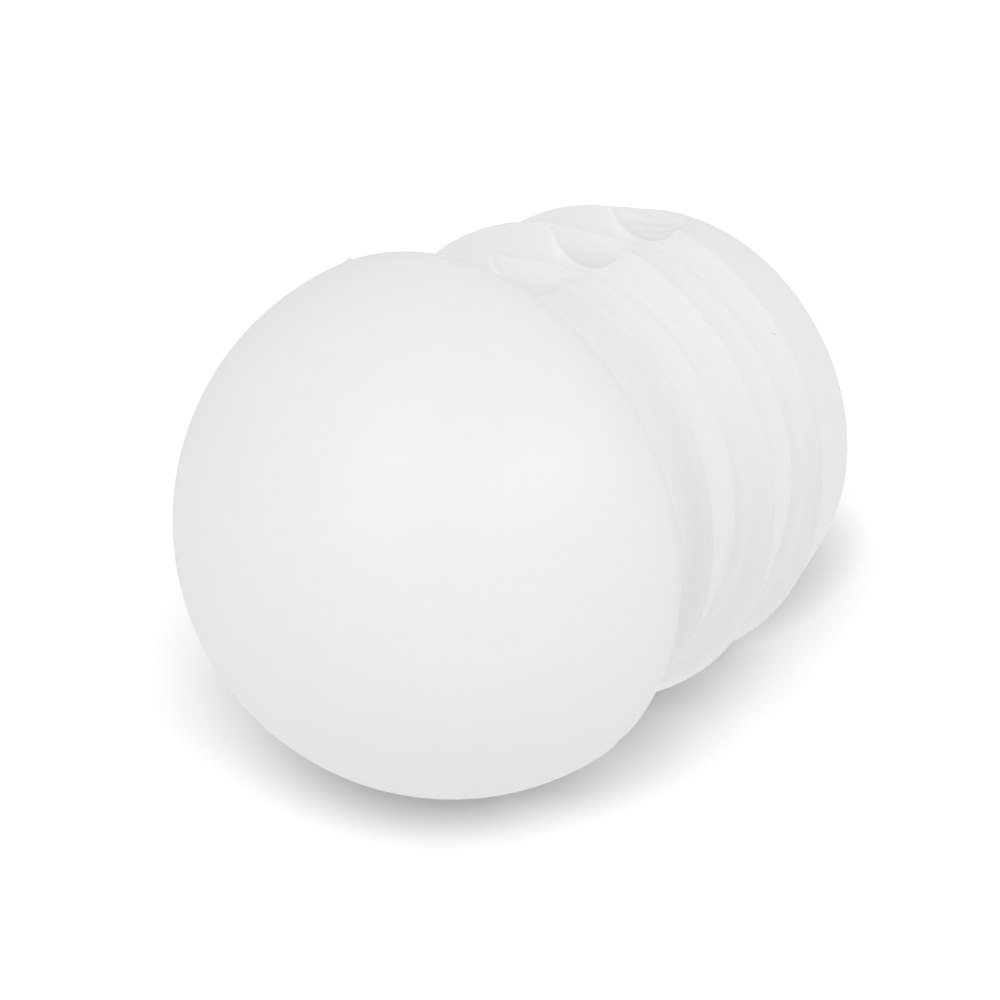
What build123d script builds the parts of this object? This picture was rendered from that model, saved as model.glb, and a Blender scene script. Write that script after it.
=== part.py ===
from build123d import *
import os

# Ball-top stopper: a plug that is pushed into the open end of a 20 mm tube.
# It is moulded in one piece, so it is one solid: a half-ball head on a round shank
# with three barbs, like a fir tree, and one straight flute along the barbs that lets
# the air out as the shank goes in.
#
# Millimetres, +Z up. The stopper stands on its inner end with the dome on top. The
# origin is the centre of the inner end, Z is the axis that everything is turned
# about, and the flute faces -Y.

# ---------------------------------------------------------------- driving sizes

head_radius = 10.0  # the half ball, as wide as the tube that it caps
rim_round = 0.08  # the edge where the ball meets its flat underside

core_radius = 7.66  # the plain round core between the barbs
neck_length = 3.24  # bare core from the head's underside to the first barb
tip_round = 0.2  # the edge of the inner end

barb_pitch = 3.66  # from one barb's root to the next
barb_heights = (1.31, 1.45, 1.08)  # crests above the core, from the head to the tip
barb_lean = 0.06  # each crest sits this much nearer to the tip than its root
crest_band = 0.22  # the narrow straight band round each crest

flute_radius = 1.68  # the flute's round section
flute_floor = 0.085  # what the flute leaves of the barbs over the core

# ---------------------------------------------------------------- worked-out sizes

barb_count = len(barb_heights)
shank_length = neck_length + barb_count * barb_pitch
overall_length = shank_length + head_radius
flute_offset = core_radius + flute_floor + flute_radius  # the flute's centre line

# ---------------------------------------------------------------- half section
# Points are (distance from the axis, height). The outline starts at the rim of the
# head's underside, goes down the shank's side to the tip and back up the axis.


def barb_corners(index):
    """Root, crest and end of the crest's band of one barb. Index 0 is at the head. The
    side that faces the head is almost flat. The other side is a cone that runs out into
    the core where the next barb starts."""
    root_height = shank_length - neck_length - index * barb_pitch
    crest_radius = core_radius + barb_heights[index]
    crest_height = root_height - barb_lean
    return [
        (core_radius, root_height),
        (crest_radius, crest_height),
        (crest_radius, crest_height - crest_band),
    ]


rim = (head_radius, shank_length)
tip = (core_radius, 0)

outline = [rim, (core_radius, shank_length)]
for index in range(barb_count):
    outline += barb_corners(index)
outline += [tip, (0, 0), (0, overall_length)]

dome = CenterArc((0, shank_length), head_radius, 0, 90)
half_section = make_face(Polyline(*outline) + dome)


def corner(point):
    """The half section's own corner at a point."""
    return half_section.vertices().sort_by_distance(point)[0]


half_section = fillet(corner(tip), tip_round)
half_section = fillet(corner(rim), rim_round)

# ---------------------------------------------------------------- the one solid

turned = revolve(Plane.XZ * half_section, Axis.Z)

# The flute's cutter runs along all the barbs and ends in the neck, where the bare core
# lies clear of it, so the head stays whole.
cutter = Cylinder(
    flute_radius,
    shank_length - neck_length / 2,
    align=(Align.CENTER, Align.CENTER, Align.MIN),
)

stopper = turned - Pos(0, -flute_offset, 0) * cutter
stopper.label = "stopper"

os.makedirs("parts", exist_ok=True)
export_step(stopper, "parts/stopper.step")

print(f"overall {stopper.bounding_box().size}")
print(f"volume {stopper.volume:.1f} mm3, solids {len(stopper.solids())}")
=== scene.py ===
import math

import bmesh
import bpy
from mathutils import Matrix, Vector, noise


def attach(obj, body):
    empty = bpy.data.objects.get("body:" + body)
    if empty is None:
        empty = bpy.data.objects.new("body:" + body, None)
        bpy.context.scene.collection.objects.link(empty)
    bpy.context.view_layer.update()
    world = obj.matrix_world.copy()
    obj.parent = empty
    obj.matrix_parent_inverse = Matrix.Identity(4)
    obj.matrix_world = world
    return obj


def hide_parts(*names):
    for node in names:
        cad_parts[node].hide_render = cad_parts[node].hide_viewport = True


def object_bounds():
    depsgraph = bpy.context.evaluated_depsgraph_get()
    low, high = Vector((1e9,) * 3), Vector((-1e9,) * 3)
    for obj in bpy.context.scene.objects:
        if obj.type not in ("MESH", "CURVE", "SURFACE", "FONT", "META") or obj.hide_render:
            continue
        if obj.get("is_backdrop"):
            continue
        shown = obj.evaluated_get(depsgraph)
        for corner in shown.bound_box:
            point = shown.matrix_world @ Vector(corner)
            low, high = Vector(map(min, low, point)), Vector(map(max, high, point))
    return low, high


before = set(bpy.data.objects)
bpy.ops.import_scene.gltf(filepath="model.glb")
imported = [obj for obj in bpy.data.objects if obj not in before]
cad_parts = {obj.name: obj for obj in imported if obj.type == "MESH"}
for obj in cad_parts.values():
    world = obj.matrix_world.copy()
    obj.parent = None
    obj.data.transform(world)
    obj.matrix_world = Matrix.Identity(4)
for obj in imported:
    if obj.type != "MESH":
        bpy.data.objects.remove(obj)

# %% [markdown]
# # A ball-top stopper in white plastic
# The real object is one moulding, pressed into the end of a tube: a half ball that stays
# outside, a round shank with three barbs that grip the bore, and one straight flute that
# lets the air out. The imported solid gives the true sizes. This lesson lays a finer skin
# over it, rounded where a mould rounds, and gives it the milky white of polyethylene.

# %% [markdown]
# ## Units and the solid's box
# Blender works in metres, but a part this small is easier to think about in millimetres.
# So every size below is in millimetres and is turned into metres where it is used. The
# box of the imported solid is kept, to print at the end how far the looks stand out of it.

# %% The solid's box
MM = 0.001
cad_low, cad_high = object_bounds()
cad_size = (cad_high - cad_low) / MM
print(f"solid's box: {cad_size.x:.2f} x {cad_size.y:.2f} x {cad_size.z:.2f} mm")

# %% [markdown]
# ## The sizes of the section
# A part like this is a turned shape with one cut, so a few lengths say all of it. The
# head's radius and the shank's length are read from the solid's box, and the rest are the
# sizes that the solid was built with. The roundings are finer than the solid's: a mould
# leaves every outer edge a little soft and fills every inner corner a little.

# %% Driving sizes, in millimetres
head_radius = cad_size.x / 2
shank_length = cad_high.z / MM - head_radius
core_radius = 7.66
neck_length = 3.24
barb_pitch = 3.66
barb_heights = (1.31, 1.45, 1.08)
barb_lean = 0.06
crest_band = 0.22
flute_radius = 1.68
flute_floor = 0.085

tip_round = 0.2
crest_round = 0.07
band_round = 0.12
root_fill = 0.26
neck_fill = 0.1
rim_round = 0.08
lip_round = 0.22
print(f"head radius {head_radius:.2f} mm, shank {shank_length:.2f} mm")

# %% [markdown]
# ## The camera comes first
# The stopper stands on its inner end, but people picture it lying down with the dome
# towards them. The camera gets that picture by looking down on the dome from the side and
# rolling, so that the shank points right and a little up. A long lens keeps its shape calm,
# and choosing the view first shows which edges deserve the finest work.

# %% Camera
camera_azimuth = math.radians(-50.9)
camera_elevation = math.radians(48.63)
camera_roll = math.radians(-116.91)
camera_offset = Vector((1.72, 0.715, 214.85)) * MM
ball_centre = Vector((0, 0, shank_length * MM))


def viewing_frame(azimuth, elevation, roll):
    """Right, up and back of a camera, as the columns of a turn."""
    facing = Matrix.Rotation(azimuth, 3, "Z") @ Matrix.Rotation(math.pi / 2 - elevation, 3, "X")
    return facing @ Matrix.Rotation(roll, 3, "Z")


camera_turn = viewing_frame(camera_azimuth, camera_elevation, camera_roll)
camera_data = bpy.data.cameras.new("camera")
camera_data.sensor_width = 36
camera_data.lens = 216
camera_data.clip_start = 0.01
camera_data.clip_end = 10
camera = bpy.data.objects.new("camera", camera_data)
bpy.context.scene.collection.objects.link(camera)
camera_place = ball_centre + camera_turn @ camera_offset
camera.matrix_world = Matrix.Translation(camera_place) @ camera_turn.to_4x4()
bpy.context.scene.camera = camera
print("camera at", [round(value / MM, 1) for value in camera_place], "mm")

# %% [markdown]
# ## Painted light and shade between the barbs
# Polyethylene is milky: light goes in, wanders for millimetres and comes out elsewhere. It
# gathers where two surfaces meet, so a slope glows more and more towards the next barb's
# root, and the last slope, which ends at the tip, hardly glows. The steps look at the head,
# so their crests stay darker, far more so on the side near the table. Each corner of the
# section carries such a glow or shade, in percent, for its upper and its lower side. This
# is painted into the plastic's colour later, as painted light and painted shade, which is
# quicker than tracing so much light.

# %% Corners of the half section
# Painted light and shade in percent: RIM is a painted highlight on the head's rim, and the UNDER
# values are painted shade on the side near the table.
PLAIN = (0.0, 0.0)
RIM = (17.0, 12.0)
root_glow = (10.0, 6.0, 4.0)
slope_top_glow = (4.0, 0.0, -1.0)
slope_foot_glow = (20.0, 18.0, 1.0)
CREST_GLOW = -3.0
BAND_SHADE = -4.0
ROOT_UNDER_SHADE = -2.0
CREST_UNDER_SHADE = -12.0
TOP_OF_SLOPE = 0.12
FOOT_OF_SLOPE = 0.88


def barb_rows(index):
    """Corners of one barb from its tip side up: (radius, height, rounding, painted glow)."""
    root = shank_length - neck_length - index * barb_pitch
    crest = core_radius + barb_heights[index]
    band_foot = root - barb_lean - crest_band
    slope_foot = max(root - barb_pitch, 0)

    def on_slope(share, glow):
        """A plain point on the slope, at a share of the way from its top to its foot."""
        radius = crest + (core_radius - crest) * share
        height = band_foot + (slope_foot - band_foot) * share
        return radius, height, 0, (glow, glow)

    top = slope_top_glow[index]
    foot = top + (slope_foot_glow[index] - top) * FOOT_OF_SLOPE
    band_edge = top + BAND_SHADE
    at_root = (root_glow[index], root_glow[index] + ROOT_UNDER_SHADE)
    at_crest = (CREST_GLOW, CREST_GLOW + CREST_UNDER_SHADE)
    return [
        on_slope(FOOT_OF_SLOPE, foot),
        on_slope(TOP_OF_SLOPE, top),
        (crest, band_foot, band_round, (band_edge, band_edge)),
        (crest, root - barb_lean, crest_round, at_crest),
        (core_radius, root, root_fill if index else neck_fill, at_root),
    ]


corners = [(0, 0, 0, PLAIN), (core_radius, 0, tip_round, PLAIN)]
for index in reversed(range(len(barb_heights))):
    corners += barb_rows(index)
corners.append((core_radius, shank_length, neck_fill, PLAIN))
corners.append((head_radius, shank_length, rim_round, RIM))
corners.append((head_radius, shank_length + 1, 0, PLAIN))
print(len(corners), "corners in the half section")

# %% [markdown]
# ## From corners to rows
# The skin is made of rings, one for each row of the half section. A rounded corner becomes
# a small arc, and a straight run is cut into short steps, because the flute will bend the
# rings of the shank and needs enough of them. The dome's rows follow its circle.

# %% Rows of the half section
ARC_STEPS = 5
FINE_STEP = 0.12
WIDE_STEP = 0.6
DOME_ROWS = 56
DOME_CROWDING = 1.15
DOME_START = 1.2 * rim_round / head_radius
TINY = 0.001
CORE_MARGIN = 0.01
RIM_GLOW_REACH = 0.08


def corner_arc(before, corner, after, radius):
    """Points of the small arc that rounds one corner."""
    to_before = (before - corner).normalized()
    to_after = (after - corner).normalized()
    half = to_before.angle(to_after) / 2
    centre = corner + (to_before + to_after).normalized() * (radius / math.sin(half))
    setback = radius / math.tan(half)
    start = corner + to_before * setback - centre
    end = corner + to_after * setback - centre
    shares = [step / ARC_STEPS for step in range(ARC_STEPS + 1)]
    return [centre + start.lerp(end, share).normalized() * radius for share in shares]


def rounded_path(corner_list):
    """Corners with their roundings: (point, upper glow, lower glow)."""
    path = [(Vector(corner_list[0][:2]), *corner_list[0][3])]
    for place in range(1, len(corner_list) - 1):
        before, here, after = (Vector(c[:2]) for c in corner_list[place - 1:place + 2])
        radius, glow = corner_list[place][2:]
        points = corner_arc(before, here, after, radius) if radius else [here]
        path += [(point, *glow) for point in points]
    return path


def stepped_path(path):
    """The same path with its long runs cut into steps."""
    rows = [path[0]]
    for (start, *start_glow), (end, *end_glow) in zip(path[:-1], path[1:]):
        on_barbs = start.x > core_radius - CORE_MARGIN and start.y < shank_length - neck_length
        step = FINE_STEP if on_barbs else WIDE_STEP
        count = max(1, math.ceil((end - start).length / step - TINY))
        for number in range(1, count + 1):
            share = number / count
            upper = start_glow[0] + (end_glow[0] - start_glow[0]) * share
            lower = start_glow[1] + (end_glow[1] - start_glow[1]) * share
            rows.append((start.lerp(end, share), upper, lower))
    return rows


rows = stepped_path(rounded_path(corners))
for number in range(1, DOME_ROWS + 1):
    angle = DOME_START + (math.pi / 2 - DOME_START) * (number / DOME_ROWS) ** DOME_CROWDING
    point = Vector((math.cos(angle), math.sin(angle))) * head_radius
    # The rim's painted highlight fades out a little way up the dome.
    fading = max(0, 1 - angle / RIM_GLOW_REACH) ** 2
    rows.append((point + Vector((0, shank_length)), RIM[0] * fading, RIM[1] * fading))
print(len(rows), "rings")

# %% [markdown]
# ## The flute
# A pin in the mould leaves the flute: a round groove along the shank that barely touches
# the core, so it shows as a bite out of each barb. Each ring is pushed in to the pin's
# surface. The long edges melt into the slopes, and the lip on each step is rolled over by
# sliding the step's points along a small arc and down the wall.

# %% Shape of the flute
FLUTE_BLEND = 0.16
# Painted shade: deep in the flute the plastic is painted darker. Painted highlight: the rolled lips
# are painted lighter.
FLUTE_SHADE = -3.4
SHADE_DEPTH = 0.4
SHADE_START = 1.7
SHADE_ONSET = 0.05
LIP_GLOW = 6.5
ON_STEP = 0.02
flute_offset = core_radius + flute_floor + flute_radius
half_mouth = math.asin(flute_radius / flute_offset)
step_heights = [shank_length - neck_length - n * barb_pitch for n in range(len(barb_heights))]


def flute_wall(turn):
    """Distance from the axis to the flute's wall, at an angle from its middle."""
    if abs(turn) >= half_mouth:
        return 2 * head_radius
    reach = flute_radius ** 2 - (flute_offset * math.sin(turn)) ** 2
    return flute_offset * math.cos(turn) - math.sqrt(reach)


def soft_lower(first, second, blend):
    """The lower of two lengths, with the corner between them rounded off."""
    share = min(max(0.5 + 0.5 * (second - first) / blend, 0), 1)
    return second + (first - second) * share - blend * share * (1 - share)


def cut_by_flute(radius, height, turn):
    """A point of the shank after the flute is cut: radius, height and painted glow."""
    wall = flute_wall(turn)
    over_lip = radius - (wall - lip_round)
    at_lip = over_lip > 0 and wall < radius + 1
    for step in step_heights:
        under_step = step - barb_lean - height
        if at_lip and -barb_lean - TINY <= under_step < lip_round:
            roll = min(over_lip / lip_round, math.pi / 2)
            drop = lip_round * (1 - math.cos(roll))
            if under_step <= ON_STEP:
                height -= drop
            else:
                height = min(height, step - barb_lean - drop)
            return wall - lip_round * (1 - math.sin(roll)), height, LIP_GLOW * min(1, roll)
    cut = soft_lower(radius, wall, FLUTE_BLEND)
    below_lips = [step - lip_round - height for step in step_heights if step - lip_round > height]
    from_lip = min(below_lips, default=0) / SHADE_START
    depth = max(0, radius - cut - SHADE_ONSET) / SHADE_DEPTH
    return cut, height, FLUTE_SHADE * min(1, depth) * min(1, from_lip)


print(f"flute mouth: {math.degrees(2 * half_mouth):.1f} degrees at most")

# %% [markdown]
# ## Small marks of making
# No moulding is perfect. A crumb of flash stands on the rim where the mould's halves met,
# and a little further round the rim was nicked flat. Inside the flute, on the last barb,
# the plastic was fed in and twisted off, which left a rough, swirled scar. These are real
# bumps in the skin. They are placed by their turn about the axis and their height.

# %% Marks on the skin
flash_turn = math.radians(31.4)
flash_reach = math.radians(0.75)
flash_height = 0.12
flash_middle = 0.1
flash_half_height = 0.3
nick_turn = math.radians(-126.5)
nick_reach = math.radians(2.6)
nick_depth = 0.035
nick_middle = 0.2
nick_half_height = 0.6
rim_zone = 0.4
scar_height = 1.9
scar_turn = math.radians(3.0)
scar_half_height = 1.5
scar_half_turn = math.radians(9)
scar_relief = 0.05
SWIRL_STRETCH = (1.1, 0.9)
SWIRL_BEND = 0.9
SWIRL_BEND_SCALE = 1.3
SWIRL_SCALE = 3.2
noise.seed_set(7)


def hump(distance, reach):
    """A soft hump: one in the middle, nothing beyond its reach."""
    share = max(0, 1 - (distance / reach) ** 2)
    return share * share


def marks(radius, height, turn):
    """How far the marks push a point outwards."""
    push = 0.0
    above_step = height - shank_length
    if radius > head_radius - rim_zone:
        flash = hump(turn - flash_turn, flash_reach)
        push += flash_height * flash * hump(above_step - flash_middle, flash_half_height)
        nick = hump(turn - nick_turn, nick_reach)
        push -= nick_depth * nick * hump(above_step - nick_middle, nick_half_height)
    scar = hump(height - scar_height, scar_half_height) * hump(turn - scar_turn, scar_half_turn)
    if scar:
        swirl = Vector((turn * radius * SWIRL_STRETCH[0], height * SWIRL_STRETCH[1], 0))
        swirl.x += SWIRL_BEND * noise.noise(swirl * SWIRL_BEND_SCALE)
        push += scar_relief * scar * noise.noise(swirl * SWIRL_SCALE)
    return push


# %% [markdown]
# ## Where the skin needs columns
# Most of the shape is round and looks smooth with a column every degree and a half. The
# flute's edges, the flash and the nick are much finer, so the columns crowd together there.
# One sorted list of turns serves every ring, so neighbouring rings join up without gaps.

# %% Columns
crowds = (
    (0, math.radians(13), 84),
    (flash_turn, 2 * flash_reach, 12),
    (nick_turn, 1.2 * nick_reach, 12),
)
EVEN_COLUMNS = 250
CROWD_MARGIN = 1.02
turns = []
for middle, reach, count in crowds:
    turns += [middle - reach + 2 * reach * number / count for number in range(count + 1)]
for number in range(EVEN_COLUMNS):
    turn = -math.pi + 2 * math.pi * number / EVEN_COLUMNS
    if all(abs(turn - middle) > reach * CROWD_MARGIN for middle, reach, count in crowds):
        turns.append(turn)
turns.sort()
print(len(turns), "columns")

# %% [markdown]
# ## Building the skin
# Each row becomes a ring of points and each pair of rings a band of faces. Beside its
# place, every point stores its painted light and shade: the rows' own glow, blended from
# the upper side to the side near the table, plus the flute's. The flute faces minus Y, so
# that is "up" for a stopper that lies on its side.

# %% Stopper skin
# The painted light and shade differ between the upper side and the side near the table, where less
# light falls.
UPPER_SIDE = 0.85
LOWER_SIDE = -0.1


def side_blend(turn):
    """Share of the upper side's painted light: one on the upper side, nothing near the table."""
    share = (math.cos(turn) - LOWER_SIDE) / (UPPER_SIDE - LOWER_SIDE)
    share = min(max(share, 0), 1)
    return share * share * (3 - 2 * share)


def skin_point(row, turn):
    """Place of one point of the skin, in metres, and its painted glow in percent."""
    (radius, height), upper, lower = row
    blend = side_blend(turn)
    glow = lower + (upper - lower) * blend
    if height < shank_length - neck_length / 2 and radius > core_radius - tip_round:
        radius, height, flute_glow = cut_by_flute(radius, height, turn)
        glow += flute_glow
    radius += marks(radius, height, turn)
    place = Vector((radius * math.sin(turn), -radius * math.cos(turn), height))
    return place * MM, glow


def build_skin():
    """The whole skin as one mesh, with the painted light and shade stored on its points."""
    skin = bmesh.new()
    glow_layer = skin.verts.layers.float.new("painted_light_and_shade")
    rings = []
    for row in rows:
        at_axis = row[0].x < TINY
        ring = []
        for turn in turns[:1] if at_axis else turns:
            place, glow = skin_point(row, turn)
            point = skin.verts.new(place)
            point[glow_layer] = glow
            ring.append(point)
        rings.append(ring)
    for low, high in zip(rings[:-1], rings[1:]):
        for here in range(len(turns)):
            after = (here + 1) % len(turns)
            if len(low) == 1:
                skin.faces.new((low[0], high[after], high[here]))
            elif len(high) == 1:
                skin.faces.new((low[here], low[after], high[0]))
            else:
                skin.faces.new((low[here], low[after], high[after], high[here]))
    bmesh.ops.recalc_face_normals(skin, faces=skin.faces)
    for face in skin.faces:
        face.smooth = True
    mesh = bpy.data.meshes.new("stopper_skin")
    skin.to_mesh(mesh)
    skin.free()
    return mesh


skin_mesh = build_skin()
stopper_skin = bpy.data.objects.new("stopper_skin", skin_mesh)
bpy.context.scene.collection.objects.link(stopper_skin)
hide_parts("stopper")
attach(stopper_skin, "root")
triangles = sum(len(face.vertices) - 2 for face in skin_mesh.polygons)
print(triangles, "triangles in the skin")

# %% [markdown]
# ## Effects that any plastic could use
# Each effect is a small node group with named inputs and outputs, so it can be lifted out
# and used again. The groups give only numbers and colours. The shading itself is done once,
# in the material at the end. A short helper keeps their making readable.

# %% Helpers for node groups
def new_group(name, inputs, outputs):
    """An empty node group with float or vector sockets."""
    group = bpy.data.node_groups.new(name, "ShaderNodeTree")
    kinds = {"value": "NodeSocketFloat", "vector": "NodeSocketVector", "color": "NodeSocketColor"}
    for label, kind, default in inputs:
        socket = group.interface.new_socket(label, in_out="INPUT", socket_type=kinds[kind])
        socket.default_value = default
    for label, kind in outputs:
        group.interface.new_socket(label, in_out="OUTPUT", socket_type=kinds[kind])
    return group, group.nodes.new("NodeGroupInput"), group.nodes.new("NodeGroupOutput")


def feed(tree, socket, source):
    """Give a socket a link or a plain value."""
    if isinstance(source, bpy.types.NodeSocket):
        tree.links.new(source, socket)
    else:
        socket.default_value = source


def calculate(tree, operation, *sources):
    """One Math node, and its result."""
    node = tree.nodes.new("ShaderNodeMath")
    node.operation = operation
    for socket, source in zip(node.inputs, sources):
        feed(tree, socket, source)
    return node.outputs["Value"]


def vector_step(tree, operation, *sources):
    """One Vector Math node."""
    node = tree.nodes.new("ShaderNodeVectorMath")
    node.operation = operation
    for socket, source in zip(node.inputs, sources):
        feed(tree, socket, source)
    return node


def noise_step(tree, place, scale, detail, distortion=0.0):
    """One noise texture's value, centred on nothing."""
    node = tree.nodes.new("ShaderNodeTexNoise")
    feed(tree, node.inputs["Vector"], place)
    node.inputs["Scale"].default_value = scale
    node.inputs["Detail"].default_value = detail
    node.inputs["Distortion"].default_value = distortion
    return calculate(tree, "SUBTRACT", node.outputs["Fac"], 0.5)


# %% [markdown]
# ## A soft mark
# Dirt, a scratch and a fibre are all short soft strokes, and so is the painted shadow on
# the board beside the last barbs. This group draws one: a long round spot at a place, along
# a direction, as a mask from nothing to one.

# %% Group: soft mark
def make_soft_mark():
    """A node group that draws one soft stroke."""
    inputs = (
        ("Position", "vector", (0, 0, 0)),
        ("Place", "vector", (0, 0, 0)),
        ("Direction", "vector", (1, 0, 0)),
        ("Half Length", "value", 0.2),
        ("Half Width", "value", 0.05),
    )
    tree, given, result = new_group("soft_mark", inputs, (("Mask", "value"),))
    offset = vector_step(tree, "SUBTRACT", given.outputs["Position"], given.outputs["Place"])
    along = vector_step(tree, "DOT_PRODUCT", offset.outputs["Vector"], given.outputs["Direction"])
    reach = vector_step(tree, "LENGTH", offset.outputs["Vector"])
    far_square = calculate(tree, "POWER", reach.outputs["Value"], 2)
    along_square = calculate(tree, "POWER", calculate(tree, "ABSOLUTE", along.outputs["Value"]), 2)
    across_square = calculate(tree, "SUBTRACT", far_square, along_square)
    length_square = calculate(tree, "POWER", given.outputs["Half Length"], 2)
    width_square = calculate(tree, "POWER", given.outputs["Half Width"], 2)
    lengthwise = calculate(tree, "DIVIDE", along_square, length_square)
    crosswise = calculate(tree, "DIVIDE", across_square, width_square)
    spread = calculate(tree, "ADD", lengthwise, crosswise)
    mask = calculate(tree, "MAXIMUM", calculate(tree, "SUBTRACT", 1, spread), 0)
    tree.links.new(mask, result.inputs["Mask"])
    return tree


soft_mark = make_soft_mark()
print("soft_mark:", len(soft_mark.nodes), "nodes")

# %% [markdown]
# ## The skin of a moulding
# A matt moulding isn't even. Its tone drifts over millimetres where the melt flowed and
# cooled, and under that lies a fine grain from the mould's spark-eroded wall. The group
# gives the drift, the grain and a height for the bump, from one position in millimetres.

# %% Group: moulded skin
def make_moulded_skin():
    """A node group with the drift and the grain of a matt moulding."""
    inputs = (("Position", "vector", (0, 0, 0)),)
    outputs = (("Drift", "value"), ("Grain", "value"), ("Height", "value"))
    tree, given, result = new_group("moulded_skin", inputs, outputs)
    place = given.outputs["Position"]
    broad = noise_step(tree, place, scale=0.22, detail=1.5, distortion=0.4)
    close = noise_step(tree, place, scale=1.3, detail=2.0)
    drift = calculate(tree, "MULTIPLY_ADD", close, 0.6, broad)
    grain = noise_step(tree, place, scale=7.0, detail=3.0)
    pores = noise_step(tree, place, scale=16.0, detail=1.0)
    height = calculate(tree, "MULTIPLY_ADD", pores, 0.4, grain)
    tree.links.new(drift, result.inputs["Drift"])
    tree.links.new(grain, result.inputs["Grain"])
    tree.links.new(height, result.inputs["Height"])
    return tree


moulded_skin = make_moulded_skin()
print("moulded_skin:", len(moulded_skin.nodes), "nodes")

# %% [markdown]
# ## A twisted scar
# Where the cold sprue was twisted off, the plastic tore in curls that all lean one way. A
# band pattern, stretched and bent by noise, gives the curls, and an uneven round mask keeps
# them to the scar's own place.

# %% Group: twisted scar
RAGGEDNESS = 0.7
SCAR_OUTSIDE = 1.05
SCAR_INSIDE = 0.55
CURL_LEAN = math.radians(-50)
CURL_STRETCH = (1.0, 1.0, 0.45)


def make_twisted_scar():
    """A node group with the mask and the curls of a torn-off sprue."""
    inputs = (
        ("Position", "vector", (0, 0, 0)),
        ("Place", "vector", (0, 0, 0)),
        ("Reach", "value", 1.2),
    )
    tree, given, result = new_group("twisted_scar", inputs, (("Mask", "value"), ("Curl", "value")))
    offset = vector_step(tree, "SUBTRACT", given.outputs["Position"], given.outputs["Place"])
    reach = vector_step(tree, "LENGTH", offset.outputs["Vector"])
    share = calculate(tree, "DIVIDE", reach.outputs["Value"], given.outputs["Reach"])
    unevenness = noise_step(tree, given.outputs["Position"], scale=1.6, detail=2.0)
    ragged = calculate(tree, "MULTIPLY_ADD", unevenness, RAGGEDNESS, share)
    edge = tree.nodes.new("ShaderNodeMapRange")
    edge.interpolation_type = "SMOOTHSTEP"
    edge.inputs["From Min"].default_value = SCAR_OUTSIDE
    edge.inputs["From Max"].default_value = SCAR_INSIDE
    tree.links.new(ragged, edge.inputs["Value"])
    along = tree.nodes.new("ShaderNodeMapping")
    along.inputs["Rotation"].default_value = (0, CURL_LEAN, 0)
    along.inputs["Scale"].default_value = CURL_STRETCH
    tree.links.new(offset.outputs["Vector"], along.inputs["Vector"])
    curls = tree.nodes.new("ShaderNodeTexWave")
    curls.inputs["Scale"].default_value = 0.85
    curls.inputs["Distortion"].default_value = 5.0
    curls.inputs["Detail"].default_value = 3.0
    curls.inputs["Detail Scale"].default_value = 0.9
    tree.links.new(along.outputs["Vector"], curls.inputs["Vector"])
    tree.links.new(edge.outputs["Result"], result.inputs["Mask"])
    tree.links.new(calculate(tree, "SUBTRACT", curls.outputs["Fac"], 0.5), result.inputs["Curl"])
    return tree


twisted_scar = make_twisted_scar()
print("twisted_scar:", len(twisted_scar.nodes), "nodes")

# %% [markdown]
# ## Where the small stains are
# The stopper has been handled: a grey fibre lies near the dome's edge and a speck nearer
# its top, a dark dash sits by the last barb's crest, and there is a smudge in the flute and
# a few pale lines near the tip. Each has a place, a direction, its half length and half
# width in millimetres, and how much it lightens or darkens the plastic, in percent.

# %% Stains
stains = {
    "fibre": ((5.09, 1.9, 22.62), (-0.70, -0.64, 0.3), 0.85, 0.06, -3.5),
    "speck": ((1.38, 2.51, 23.8), (1, 0, 0), 0.06, 0.06, -3.0),
    "crest_dash": ((-6.16, -5.95, 3.61), (-0.99, 0.03, 0.0), 0.17, 0.05, -22.0),
    "flute_smudge": ((1.19, -8.24, 6.07), (0, 0, 1), 0.1, 0.09, -5.0),
    "tip_scuff": ((-3.0, -7.85, 2.35), (-0.9, 0.43, -0.2), 0.6, 0.14, 2.5),
    "flow_line": ((-0.2, -7.76, 1.05), (-0.36, -0.04, -0.93), 0.55, 0.1, 4.0),
    "flow_turn": ((-0.95, -7.79, 0.72), (-0.97, 0.0, 0.22), 0.65, 0.1, 3.5),
}

# %% [markdown]
# ## The white plastic
# Everything meets here. The base colour is a light grey-white, tinted by the painted light
# and shade stored on the skin, the drift, the stains and the scar. Light then wanders six
# millimetres inside it, which is what makes polyethylene look soft. The roughness follows
# the grain, and the scar is duller.

# %% White plastic
BASE_TONE = 0.85
BRIGHTEST = 0.995
DRIFT_PERCENT = 1.2
GRAIN_PERCENT = 1.6
SCAR_PERCENT = -0.5
CURL_PERCENT = 6.0
ROUGHNESS = 0.42
GRAIN_ROUGHNESS = 0.12
SCAR_ROUGHNESS = 0.2
SCAR_REACH = 1.45
SCAR_RELIEF_SHARE = 6.0
BUMP_STRENGTH = 0.35
BUMP_DISTANCE = 0.012 * MM
LIGHT_WANDERS = 6 * MM
REFRACTIVE_INDEX = 1.51

finish = bpy.data.materials.new("white_plastic_finish")
finish.use_nodes = True
plastic = finish.node_tree
shader = plastic.nodes["Principled BSDF"]


def use_group(group, **given):
    """Put a group into the plastic, with its inputs by name."""
    node = plastic.nodes.new("ShaderNodeGroup")
    node.node_tree = group
    for label, source in given.items():
        feed(plastic, node.inputs[label.replace("_", " ")], source)
    return node


surface_place = plastic.nodes.new("ShaderNodeTexCoord")
scaled_place = vector_step(plastic, "MULTIPLY", surface_place.outputs["Object"], (1 / MM,) * 3)
position = scaled_place.outputs["Vector"]
# Painted light and shade in percent, stored on the skin's points.
gathered = plastic.nodes.new("ShaderNodeAttribute")
gathered.attribute_name = "painted_light_and_shade"
skin_detail = use_group(moulded_skin, Position=position)
scar_place = Vector((scar_turn * core_radius, -core_radius, scar_height))
scar = use_group(twisted_scar, Position=position, Place=scar_place, Reach=SCAR_REACH)

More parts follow.
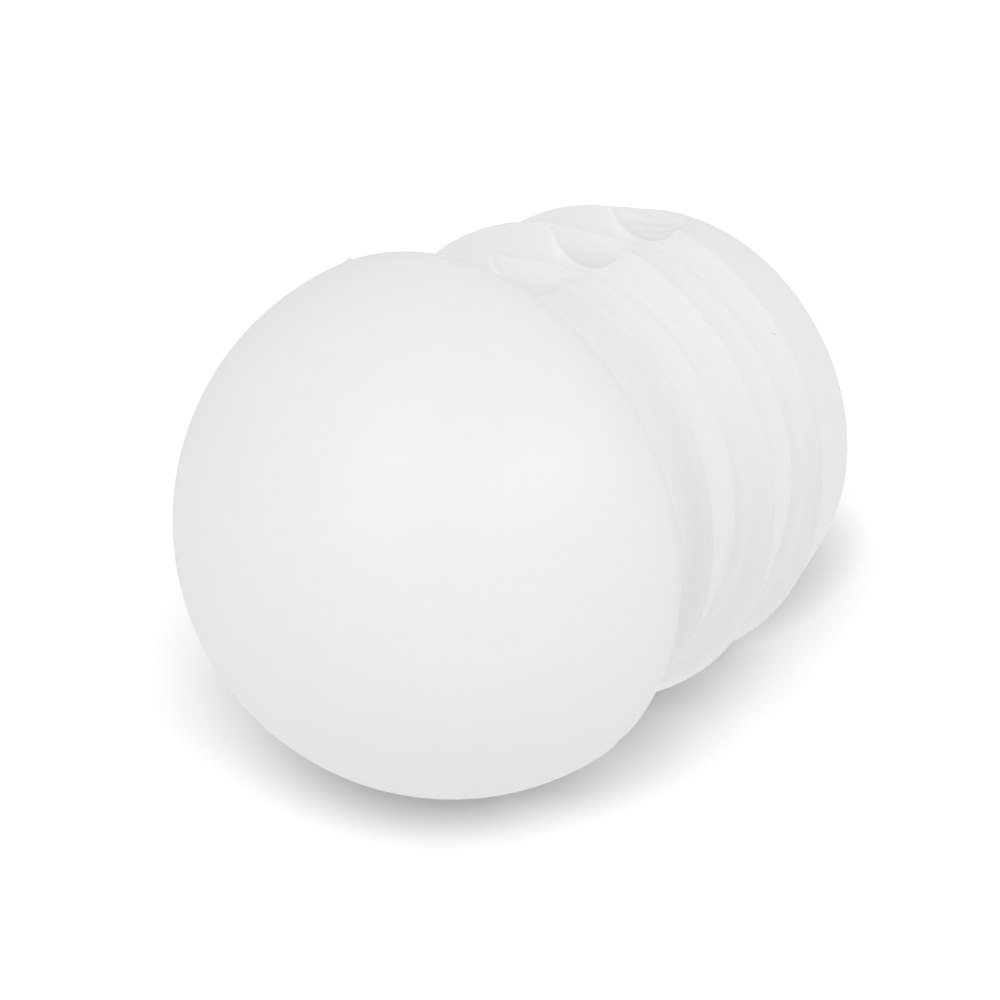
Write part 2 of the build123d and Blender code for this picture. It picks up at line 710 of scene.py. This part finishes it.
percent = gathered.outputs["Fac"]
percent = calculate(plastic, "MULTIPLY_ADD", skin_detail.outputs["Drift"], DRIFT_PERCENT, percent)
percent = calculate(plastic, "MULTIPLY_ADD", skin_detail.outputs["Grain"], GRAIN_PERCENT, percent)
curl = calculate(plastic, "MULTIPLY_ADD", scar.outputs["Curl"], CURL_PERCENT, SCAR_PERCENT)
percent = calculate(plastic, "MULTIPLY_ADD", scar.outputs["Mask"], curl, percent)
for place, direction, half_length, half_width, strength in stains.values():
    mark = use_group(
        soft_mark,
        Position=position,
        Place=place,
        Direction=Vector(direction).normalized(),
        Half_Length=half_length,
        Half_Width=half_width,
    )
    percent = calculate(plastic, "MULTIPLY_ADD", mark.outputs["Mask"], strength, percent)

tone = calculate(plastic, "MULTIPLY_ADD", percent, BASE_TONE / 100, BASE_TONE)
tone = calculate(plastic, "MINIMUM", tone, BRIGHTEST)
white = plastic.nodes.new("ShaderNodeCombineColor")
for channel in ("Red", "Green", "Blue"):
    plastic.links.new(tone, white.inputs[channel])
plastic.links.new(white.outputs["Color"], shader.inputs["Base Color"])

grain = skin_detail.outputs["Grain"]
roughness = calculate(plastic, "MULTIPLY_ADD", grain, GRAIN_ROUGHNESS, ROUGHNESS)
roughness = calculate(plastic, "MULTIPLY_ADD", scar.outputs["Mask"], SCAR_ROUGHNESS, roughness)
plastic.links.new(roughness, shader.inputs["Roughness"])

relief = calculate(plastic, "MULTIPLY", scar.outputs["Mask"], scar.outputs["Curl"])
relief = calculate(plastic, "MULTIPLY_ADD", relief, SCAR_RELIEF_SHARE, skin_detail.outputs["Height"])
bump = plastic.nodes.new("ShaderNodeBump")
bump.inputs["Strength"].default_value = BUMP_STRENGTH
bump.inputs["Distance"].default_value = BUMP_DISTANCE
plastic.links.new(relief, bump.inputs["Height"])
plastic.links.new(bump.outputs["Normal"], shader.inputs["Normal"])

shader.inputs["IOR"].default_value = REFRACTIVE_INDEX
shader.inputs["Subsurface Weight"].default_value = 1.0
shader.inputs["Subsurface Radius"].default_value = (1, 1, 1)
shader.inputs["Subsurface Scale"].default_value = LIGHT_WANDERS
skin_mesh.materials.append(finish)
print("white plastic:", len(plastic.nodes), "nodes")

# %% [markdown]
# ## The board it lies on
# For its picture the stopper lies on a plain white board that touches the head's rim and
# the last barb. Seen from behind, the board is clear, and it fades out beyond the shadow.
# Only the camera sees it, so it throws no light back. Its own colour is about a third
# darker beside the last barbs, to deepen the shadow where the least light would reach.

# %% Board
BOARD_SIZE = 0.2
BOARD_TONE = 0.37
FADE_START = 42
FADE_END = 75
CONTACT_SHADE = -0.32
CONTACT_PLACE = (-1.0, 7.9, -3.2)
CONTACT_HALF_LENGTH = 7.5
CONTACT_HALF_WIDTH = 4.2
last_barb = core_radius + barb_heights[-1]
board_lean = (head_radius - last_barb) / (neck_length + 2 * barb_pitch + barb_lean)


def board_finish():
    """A dull sheet, clear from behind and far away."""
    finish = bpy.data.materials.new("board_finish")
    finish.use_nodes = True
    tree = finish.node_tree
    tree.nodes.clear()
    dull = tree.nodes.new("ShaderNodeBsdfDiffuse")
    side = tree.nodes.new("ShaderNodeNewGeometry")
    position = vector_step(tree, "MULTIPLY", side.outputs["Position"], (1 / MM,) * 3)
    contact = tree.nodes.new("ShaderNodeGroup")
    contact.node_tree = soft_mark
    contact.inputs["Place"].default_value = CONTACT_PLACE
    contact.inputs["Direction"].default_value = Vector((0, board_lean, 1)).normalized()
    contact.inputs["Half Length"].default_value = CONTACT_HALF_LENGTH
    contact.inputs["Half Width"].default_value = CONTACT_HALF_WIDTH
    tree.links.new(position.outputs["Vector"], contact.inputs["Position"])
    shade = calculate(tree, "MULTIPLY_ADD", contact.outputs["Mask"], CONTACT_SHADE, 1)
    tone = calculate(tree, "MULTIPLY", shade, BOARD_TONE)
    grey = tree.nodes.new("ShaderNodeCombineColor")
    for channel in ("Red", "Green", "Blue"):
        tree.links.new(tone, grey.inputs[channel])
    tree.links.new(grey.outputs["Color"], dull.inputs["Color"])
    distance = vector_step(tree, "LENGTH", position.outputs["Vector"])
    fade = tree.nodes.new("ShaderNodeMapRange")
    fade.interpolation_type = "SMOOTHSTEP"
    fade.inputs["From Min"].default_value = FADE_START
    fade.inputs["From Max"].default_value = FADE_END
    tree.links.new(distance.outputs["Value"], fade.inputs["Value"])
    clearness = calculate(tree, "MAXIMUM", side.outputs["Backfacing"], fade.outputs["Result"])
    see_through = tree.nodes.new("ShaderNodeBsdfTransparent")
    chooser = tree.nodes.new("ShaderNodeMixShader")
    output = tree.nodes.new("ShaderNodeOutputMaterial")
    tree.links.new(clearness, chooser.inputs["Fac"])
    tree.links.new(dull.outputs["BSDF"], chooser.inputs[1])
    tree.links.new(see_through.outputs["BSDF"], chooser.inputs[2])
    tree.links.new(chooser.outputs["Shader"], output.inputs["Surface"])
    return finish


def make_board():
    """A square board beside the stopper, seen by the camera alone."""
    half = BOARD_SIZE / 2
    outline = [(-half, -half, 0), (half, -half, 0), (half, half, 0), (-half, half, 0)]
    mesh = bpy.data.meshes.new("board")
    mesh.from_pydata(outline, [], [(0, 1, 2, 3)])
    mesh.materials.append(board_finish())
    piece = bpy.data.objects.new("board", mesh)
    bpy.context.scene.collection.objects.link(piece)
    piece.rotation_mode = "QUATERNION"
    piece.rotation_quaternion = Vector((0, -1, board_lean)).to_track_quat("Z", "Y")
    piece.location = (0, head_radius * MM, ball_centre.z)
    piece.visible_diffuse = False
    piece.visible_glossy = False
    piece.visible_transmission = False
    piece.visible_shadow = False
    piece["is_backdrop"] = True
    return piece


board = make_board()
print(f"board leans {math.degrees(math.atan(board_lean)):.1f} degrees to the stopper's axis")

# %% [markdown]
# ## Lamps
# Two tall soft lamps leave the faint upright gleams on the dome. The shadow has lamps of
# its own, which shine on the board and nothing else: its far parts burn out to white and
# only the shadow is left. The gleams' directions are in the camera's axes: right, up and
# back. The board's are in the solid's: minus Y is above the lying stopper, and Z is the
# way the dome looks.

# %% Lamps
GLEAM_DISTANCE = 0.6
GLEAM_SIZE = (0.15, 0.7)
SHADOW_DISTANCE = 0.3
SHADOW_SIZE = (0.28, 0.28)
SHADOW_POWER = 2.2
gleam_lamps = (
    ("left_lamp", (-0.47, 0.31, 0.83), 0.57),
    ("right_lamp", (0.54, 0.3, 0.79), 0.58),
)
board_lamps = (
    ((0, -1, 1), 0.5),
    ((1, -1, 0), 0.15),
    ((-1, -1, 1), 0.8),
    ((0, 0, 1), 0.5),
    ((-0.5, -1, -0.8), 0.4),
)


def lamp(name, direction, distance, size, power):
    """A soft lamp that looks at the middle of the ball."""
    data = bpy.data.lights.new(name, "AREA")
    data.shape = "ELLIPSE"
    data.size, data.size_y = size
    data.energy = power
    piece = bpy.data.objects.new(name, data)
    bpy.context.scene.collection.objects.link(piece)
    piece.location = ball_centre + direction * distance
    piece.rotation_mode = "QUATERNION"
    piece.rotation_quaternion = direction.to_track_quat("Z", "Y")
    return piece


def shadow_lamps():
    """Lamps that light the board and nothing else."""
    only = bpy.data.collections.new("board_only")
    only.objects.link(board)
    for number, (direction, share) in enumerate(board_lamps):
        direction = Vector(direction).normalized()
        power = share * SHADOW_POWER
        piece = lamp(f"board_lamp_{number}", direction, SHADOW_DISTANCE, SHADOW_SIZE, power)
        piece.light_linking.receiver_collection = only


for name, direction, power in gleam_lamps:
    lamp(name, camera_turn @ Vector(direction).normalized(), GLEAM_DISTANCE, GLEAM_SIZE, power)
shadow_lamps()
print(len(board_lamps), "lamps for the shadow alone")

# %% [markdown]
# ## The light tent
# Everything else comes from the world, as in a light tent. It is a little brighter from the
# table's side, because the white table throws light back up. The camera sees it pure white,
# while the plastic gets a softer white, so that nothing on it burns out.

# %% World
TENT = 0.78
TABLE_GLOW = 0.075
world = bpy.data.worlds.new("light_tent")
bpy.context.scene.world = world
world.use_nodes = True
tent = world.node_tree
backdrop = tent.nodes["Background"]
backdrop.inputs["Color"].default_value = (1, 1, 1, 1)
direction = tent.nodes.new("ShaderNodeTexCoord")
axes = tent.nodes.new("ShaderNodeSeparateXYZ")
tent.links.new(direction.outputs["Generated"], axes.inputs["Vector"])
tent_light = calculate(tent, "MULTIPLY_ADD", axes.outputs["Y"], TABLE_GLOW, TENT)
ray_kind = tent.nodes.new("ShaderNodeLightPath")
choice = tent.nodes.new("ShaderNodeMapRange")
tent.links.new(ray_kind.outputs["Is Camera Ray"], choice.inputs["Value"])
tent.links.new(tent_light, choice.inputs["To Min"])
choice.inputs["To Max"].default_value = 1.0
tent.links.new(choice.outputs["Result"], backdrop.inputs["Strength"])
bpy.context.scene.view_settings.view_transform = "Standard"

# %% [markdown]
# ## Checking the size
# The skin must fill the solid's box and stay inside it. How far it stands out of the box is
# printed below.

# %% Boxes side by side
low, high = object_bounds()
growth = max(max(cad_low - low), max(high - cad_high)) / MM
print(f"the looks stand out of the solid's box by {growth:.4f} mm at most")
